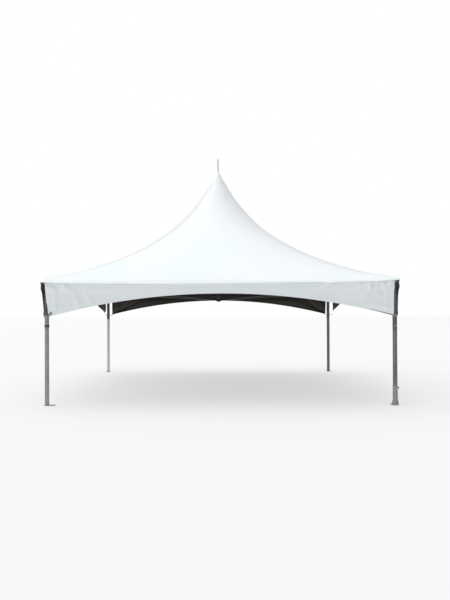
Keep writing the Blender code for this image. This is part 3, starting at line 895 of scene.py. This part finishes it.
def makeCables(look):
    # the rope's radius dips between strands, whose angle grows by a turn in each lay
    up, eye, lap = np.array([0, 0, 1.0]), look["eyeRing"], look["swageLap"]
    for corner, (east, north) in cornerSigns.items():
        out = np.array([east, north, 0.0]) / math.sqrt(2)
        first = out * look["hubAt"] + up * look["hubHeight"]
        last = (out * (math.sqrt(2) * tent["legAt"] - look["legBack"])
                + up * (legTop - look["legDown"]))
        pull = unit(last - first)
        across, rise = squareTo(pull)
        ringA, ringB = first + pull * eye, last - pull * eye
        start, end = ringA + pull * (eye + lap), ringB - pull * (eye + lap)
        length = float(np.linalg.norm(end - start))
        along = np.linspace(0, length, int(length / look["lay"] * look["rowsPerLay"]))
        along, angle = along[:, None, None], fullTurn(look["cols"])[:, None]
        strand = np.abs(np.sin(look["strands"] / 2 * (
            angle - 2 * math.pi * along / look["lay"])))
        radius = look["radius"] - look["dip"] * (1 - strand)
        ring = np.cos(angle) * across + np.sin(angle) * rise
        rope = start + along * pull + radius * ring
        s, n = look["swage"], look["swageLength"]
        sleeve = capped([(s - 0.0015, 0.0), (s, 0.0015), (s, n - 0.006), (0.0045, n)])
        piece = joinGrids("cable_rope_" + corner, [
            (rope, False), (ringPoints(ringA, pull, eye, look["eyeWire"]), True),
            (ringPoints(ringB, pull, eye, look["eyeWire"]), True),
            (spunPoints(sleeve, start - pull * lap, pull, 20), False),
            (spunPoints(sleeve, end + pull * lap, -pull, 20), False),
        ], strandMetal, 60)
        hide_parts("cross_cable_" + corner)


makeCables(cableLook)
print("cables made")


# Straps: a flat band from one valance round the leg's outer side to the other
strapLook = {"wide": 0.045, "thick": 0.0022, "arm": 0.075, "rise": 0.9, "height": 1.542,
             "longArm": 0.42, "longRise": 0.255, "thin": 0.022, "clear": 0.0022,
             "tail": 0.25,  # the long arm narrows to this share as it runs into the hem
             "backShare": 0.6, "edge": 0.006, "edgeRow": -5, "armSteps": 14,
             "wrap": (112, -22, 26), "wrapRadius": 0.0398}


def alongEdge(side, way, look):
    # points on the outer face a little over the lower edge, outwards to the end, each
    # as far out as the cloth stands anywhere under the band's width
    share, depth = way * np.linspace(0.7, 1.0, 240), np.linspace(0.4, 1.0, 90)[:, None]
    face = valanceSurface(share, depth, valanceLook, *valanceShapes[side])
    x, out, high = np.abs(face[..., 0]), -face[..., 1], face[..., 2]
    row, isLong = look["edgeRow"], (side, way) == ("front", 1)
    end = x[row, -1] - look["edge"]
    at = np.linspace(end - look["longArm" if isLong else "arm"], end, look["armSteps"])
    rise = look["longRise" if isLong else "rise"]
    z = look["height"] + look["edge"] + rise * (end - at)
    near = np.hypot(x.ravel() - at[:, None], high.ravel() - z[:, None]) < look["wide"] / 2
    stand = np.where(near, out.ravel(), np.interp(at, x[row], out[row])[:, None]).max(1)
    return np.stack([at, stand + look["clear"], z], -1)


def strapLine(corner, look):
    # along one valance, round a part of the leg, and back along the other
    east, north = cornerSigns[corner]
    first = alongEdge(*(("front", east) if north < 0 else ("back", -east)), look)
    last = alongEdge(*(("right", north) if east > 0 else ("left", -north)), look)
    wrap = look["wrapRadius"] * levelRing(np.radians(np.linspace(*look["wrap"])))
    wrap = wrap + (tent["legAt"], tent["legAt"], look["height"])
    return np.concatenate([first, wrap, last[::-1, [1, 0, 2]]])


def bandFrom(name, line, outwards, look, closed=False, taper=1.0):
    # a thin band carried along a line, its width square to the line and to outwards; its
    # edges go round as the tent's corners do, and taper is each row's share of the width
    step = unit(steps(line, 0, closed))
    out = unit(outwards - step * (outwards * step).sum(1, keepdims=True))
    wide, thick = np.cross(out, step) * taper * look["wide"] / 2, out * look["thick"] / 2
    points = np.stack([line + wide * a + thick * b for a, b in cornerSigns.values()], 1)
    faces, last = gridFaces(points, closed, True), 4 * len(line) - 1
    if not closed:
        faces = np.concatenate([faces, [[0, 1, 2, 3], [last, last - 1, last - 2, last - 3]]])
    across = look["wide"] * np.array([0, 1, 1, 0])
    uvs = gridUvs(lengthAlong(line)[:, None], across, faces)
    band = meshFrom(name, points, faces, uvs)
    turnOut(band)
    smoothShade(band, 50)
    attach(band, "root")
    return band


def makeStraps(look):
    # each is shaped for the front right corner, then mirrored to its own
    arm = look["armSteps"]
    for corner, (east, north) in cornerSigns.items():
        wide = look["wide"] if corner == "front_left" else look["thin"]
        cut = dict(look, wide=wide * (1 if north < 0 else look["backShare"]))
        line = strapLine(corner, cut)
        out = line - (tent["legAt"], tent["legAt"], 0)
        out[:arm] = (0, 1, 0)
        out[-arm:] = (1, 0, 0)
        out[:, 2] = 0
        flip = np.array([east, north, 1.0])
        taper = np.ones((len(line), 1))
        if corner == "front_right":
            taper[:arm, 0] = np.linspace(look["tail"], 1.0, arm)
        strap = bandFrom("tie_webbing_" + corner, line * flip, out * flip, cut, taper=taper)
        wear(strap, greyWebbing if north < 0 else whiteWebbing)
        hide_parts("corner_strap_" + corner)


makeStraps(strapLook)
print("straps made")

# The spare end of one tie is wound round the front left leg
windLook = {"wide": 0.046, "thick": 0.0030, "height": 1.380, "radius": 0.0402,
            "steps": 64}


def makeWinding(look):
    ring = levelRing(fullTurn(look["steps"]))
    line = ring * look["radius"] + (-tent["legAt"], -tent["legAt"], look["height"])
    wear(bandFrom("tieWinding", line, ring, look, closed=True), blackWebbing)


makeWinding(windLook)


# The rigid pieces that keep their frame shape take their real finish, except the mast foot,
# whose dark steel is a painted shade
nodeMetals = {"mast_head": zincMetal, "mast_foot": shadedSteel,
              "leg_sleeve_front_right": castMetal}
for corner in cornerSigns:
    nodeMetals["corner_fitting_" + corner] = castMetal
    nodeMetals["base_plate_" + corner] = zincMetal
for node, metal in nodeMetals.items():
    wear(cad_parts[node], metal)
print("frame pieces dressed")

# Small fasteners: latch buttons in the legs, bolts through the corner castings
buttonLook = {"height": 1.370, "radius": 0.008, "proud": 0.006, "washer": 0.014,
              "washerThick": 0.0018, "seat": 0.004}


def makeButtons(look):
    # an outline of radius and distance, spun about a level line: a domed head on a washer
    r, p, w, thick = (look[k] for k in ("radius", "proud", "washer", "washerThick"))
    dome = capped([(w, -look["seat"]), (w, thick - 0.0006), (w - 0.001, thick),
                   (r, thick), (r, p - 0.003), (r * 0.85, p - 0.001), (r * 0.5, p)])
    for corner, (_, north) in cornerSigns.items():
        low, high = (np.array(end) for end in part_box("leg_" + corner))
        face = np.array([0, north, 0.0])
        spot = (low + high) / 2 + face * (high[0] - low[0]) / 2
        spot[2] = look["height"]
        joinGrids("latch_button_" + corner, [(spunPoints(dome, spot, face, 24), False)],
                  zincMetal, 35)


makeButtons(buttonLook)

boltLook = {"across": 0.0095, "tall": 0.006, "washer": 0.012, "washerThick": 0.0016,
            "heights": (-0.052, -0.002), "faceAt": 0.0378}  # from the leg's top and middle


def makeBolts(look):
    # a round washer and a six-sided head each, one over the other on two sides of the leg
    a, thick = look["across"], look["washerThick"]
    washer = capped([(look["washer"], 0), (look["washer"], thick)])
    head = capped([(a, thick), (a, look["tall"]), (a * 0.85, look["tall"] + 0.001)])
    for corner, (east, north) in cornerSigns.items():
        grids = []
        for way in np.array([[east, 0, 0], [0, north, 0]]):
            for height in look["heights"]:
                spot = way * look["faceAt"] + (east * tent["legAt"], north * tent["legAt"],
                                               legTop + height)
                grids += [(spunPoints(washer, spot, way, 20), False),
                          (spunPoints(head, spot, way, 6), False)]
        joinGrids("cap_bolts_" + corner, grids, zincMetal, 25)


makeBolts(boltLook)
print("fasteners made")

# Floor, light and the sky round them
stageLook = {"floorHalf": 200.0, "skyLow": 0.35, "skyHigh": 1.06, "skySide": 0.34,
             "skyTint": "#fbfdff", "backdropTint": "#ffffff", "backdrop": 1.0,
             # name, where it shines from, power and how wide the lamp looks in degrees
             "lamps": [("keyLight", (-0.80, 0.04, 0.60), 0.36, 40.0),
                       ("topLight", (-0.12, 0.16, 0.97), 0.58, 50.0)]}


def makeStage(look):
    # the light brightens upwards and to the left, as from a large soft box; the camera
    # itself sees plain white behind the floor
    points = look["floorHalf"] * np.array([(*signs, 0) for signs in cornerSigns.values()])
    floor = meshFrom("studioFloor", points, np.array([[0, 1, 2, 3]]), points[:, :2])
    wear(floor, floorPaint)
    world = bpy.data.worlds.new("studio")
    world.use_nodes = True
    tree = world.node_tree
    tree.nodes.clear()
    parts = addNode(tree, "SeparateXYZ", None, {0: addNode(tree, "TexCoord")["Generated"]})
    bright = addNode(tree, "MapRange", {"To Min": look["skyLow"], "To Max": look["skyHigh"]},
                     {"Value": parts["Z"]})
    toSide = addNode(tree, "Math", {"operation": "MULTIPLY_ADD", 1: -look["skySide"]},
                     {0: parts["X"], 2: bright["Result"]})
    glow = addNode(tree, "Background", {"Color": fromHex(look["skyTint"])},
                   {"Strength": toSide["Value"]})
    plain = addNode(tree, "Background", {"Color": fromHex(look["backdropTint"]),
                                         "Strength": look["backdrop"]})
    ray = addNode(tree, "LightPath")["Is Camera Ray"]
    both = addNode(tree, "MixShader", None,
                   {0: ray, 1: glow["Background"], 2: plain["Background"]})
    addNode(tree, "OutputWorld", None, {"Surface": both["Shader"]})
    scene.world = world
    for name, place, power, wide in look["lamps"]:
        lamp = bpy.data.lights.new(name, "SUN")
        lamp.energy = power
        lamp.angle = math.radians(wide)
        hung = bpy.data.objects.new(name, lamp)
        hung.rotation_euler = (-Vector(place)).to_track_quat("-Z", "Y").to_euler()
        scene.collection.objects.link(hung)
    scene.view_settings.view_transform = "Standard"


makeStage(stageLook)
print("stage made")
